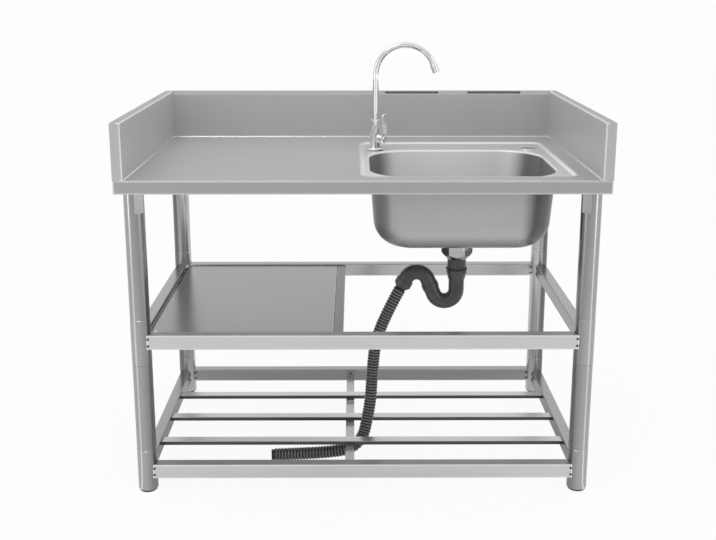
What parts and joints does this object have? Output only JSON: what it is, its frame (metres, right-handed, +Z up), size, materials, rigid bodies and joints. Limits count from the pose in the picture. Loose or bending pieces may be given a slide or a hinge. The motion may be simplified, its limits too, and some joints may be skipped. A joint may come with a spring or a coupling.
{
  "type": "kitchen sink unit",
  "caption": "Free-standing stainless steel sink table with a drainboard, raised back and side splashes, a swan-neck tap, a trap with a ribbed drain hose, and open shelves.",
  "frame": {"origin": "on the floor, under the middle of the worktop", "axes": "+X to the right seen from the front, +Y to the back splash, +Z up"},
  "size_m": [1.2, 0.7, 1.132],
  "materials": {
    "stainless_steel": "brushed",
    "polished_steel": "polished",
    "black_plastic": "matte",
    "hose_plastic": "satin",
    "black_rubber": "matte",
    "screw_black": "satin",
    "foot_plastic": "matte",
    "dark_steel": "satin"
  },
  "bodies": {
    "table": {"back_splash": "stainless_steel", "blanking_cap": "polished_steel", "clamp_screw": "polished_steel", "cross_bar": "stainless_steel", "deck_beams": "stainless_steel", "drain_cup": "dark_steel", "drain_gaskets": "black_rubber", "drain_hose": "hose_plastic", "drain_nut": "black_plastic", "drainboard_stiffeners": "stainless_steel", "fitting_nuts": "dark_steel", "foot_inserts": "foot_plastic", "frame_screws": "screw_black", "hose_nut": "black_plastic", "left_splash": "stainless_steel", "leg_sockets": "stainless_steel", "lower_back_rail": "stainless_steel", "lower_connector_back_left": "stainless_steel", "lower_connector_back_right": "stainless_steel", "lower_connector_front_left": "stainless_steel", "lower_connector_front_right": "stainless_steel", "lower_front_rail": "stainless_steel", "lower_left_rail": "stainless_steel", "lower_leg_tubes": "stainless_steel", "lower_right_rail": "stainless_steel", "middle_back_rail": "stainless_steel", "middle_connector_back_left": "stainless_steel", "middle_connector_back_right": "stainless_steel", "middle_connector_front_left": "stainless_steel", "middle_connector_front_right": "stainless_steel", "middle_front_rail": "stainless_steel", "middle_left_rail": "stainless_steel", "middle_right_rail": "stainless_steel", "right_splash": "stainless_steel", "seal_ring": "black_rubber", "shelf_panel": "stainless_steel", "sink_bowl": "stainless_steel", "slat_1": "stainless_steel", "slat_2": "stainless_steel", "slat_3": "stainless_steel", "slip_nut": "black_plastic", "strainer_flange": "polished_steel", "tap_body": "polished_steel", "tap_collar": "polished_steel", "tap_washers": "black_rubber", "tie_bar": "stainless_steel", "trap_bend": "black_plastic", "trap_crest": "black_plastic", "upper_leg_tubes": "stainless_steel", "valve_bonnet": "polished_steel", "worktop": "stainless_steel"},
    "spout": {"spout": "polished_steel", "aerator": "polished_steel", "aerator_mesh": "black_plastic"},
    "lever": {"tap_lever": "polished_steel"},
    "basket": {"strainer_basket": "polished_steel"},
    "foot_front_left_body": {"foot_front_left": "foot_plastic"},
    "foot_front_right_body": {"foot_front_right": "foot_plastic"},
    "foot_back_left_body": {"foot_back_left": "foot_plastic"},
    "foot_back_right_body": {"foot_back_right": "foot_plastic"}
  },
  "joints": [
    {"name": "spout_swivel", "type": "hinge", "parent": "table", "child": "spout", "pos_m": [0.03917, 0.11223, 0.89], "axis": [0, 0, 1], "continuous": true},
    {"name": "lever_turn", "type": "hinge", "parent": "table", "child": "lever", "pos_m": [0.03917, 0.11223, 0.8595], "axis": [0.7071, -0.7071, 0], "range_deg": [0, 90]},
    {"name": "basket_lift", "type": "slide", "parent": "table", "child": "basket", "axis": [0, 0, 1], "range_m": [0, 0.24]},
    {"name": "foot_front_left_screw", "type": "slide", "parent": "table", "child": "foot_front_left_body", "axis": [0, 0, -1], "range_m": [0, 0.02]},
    {"name": "foot_front_right_screw", "type": "slide", "parent": "table", "child": "foot_front_right_body", "axis": [0, 0, -1], "range_m": [0, 0.02]},
    {"name": "foot_back_left_screw", "type": "slide", "parent": "table", "child": "foot_back_left_body", "axis": [0, 0, -1], "range_m": [0, 0.02]},
    {"name": "foot_back_right_screw", "type": "slide", "parent": "table", "child": "foot_back_right_body", "axis": [0, 0, -1], "range_m": [0, 0.02]}
  ]
}
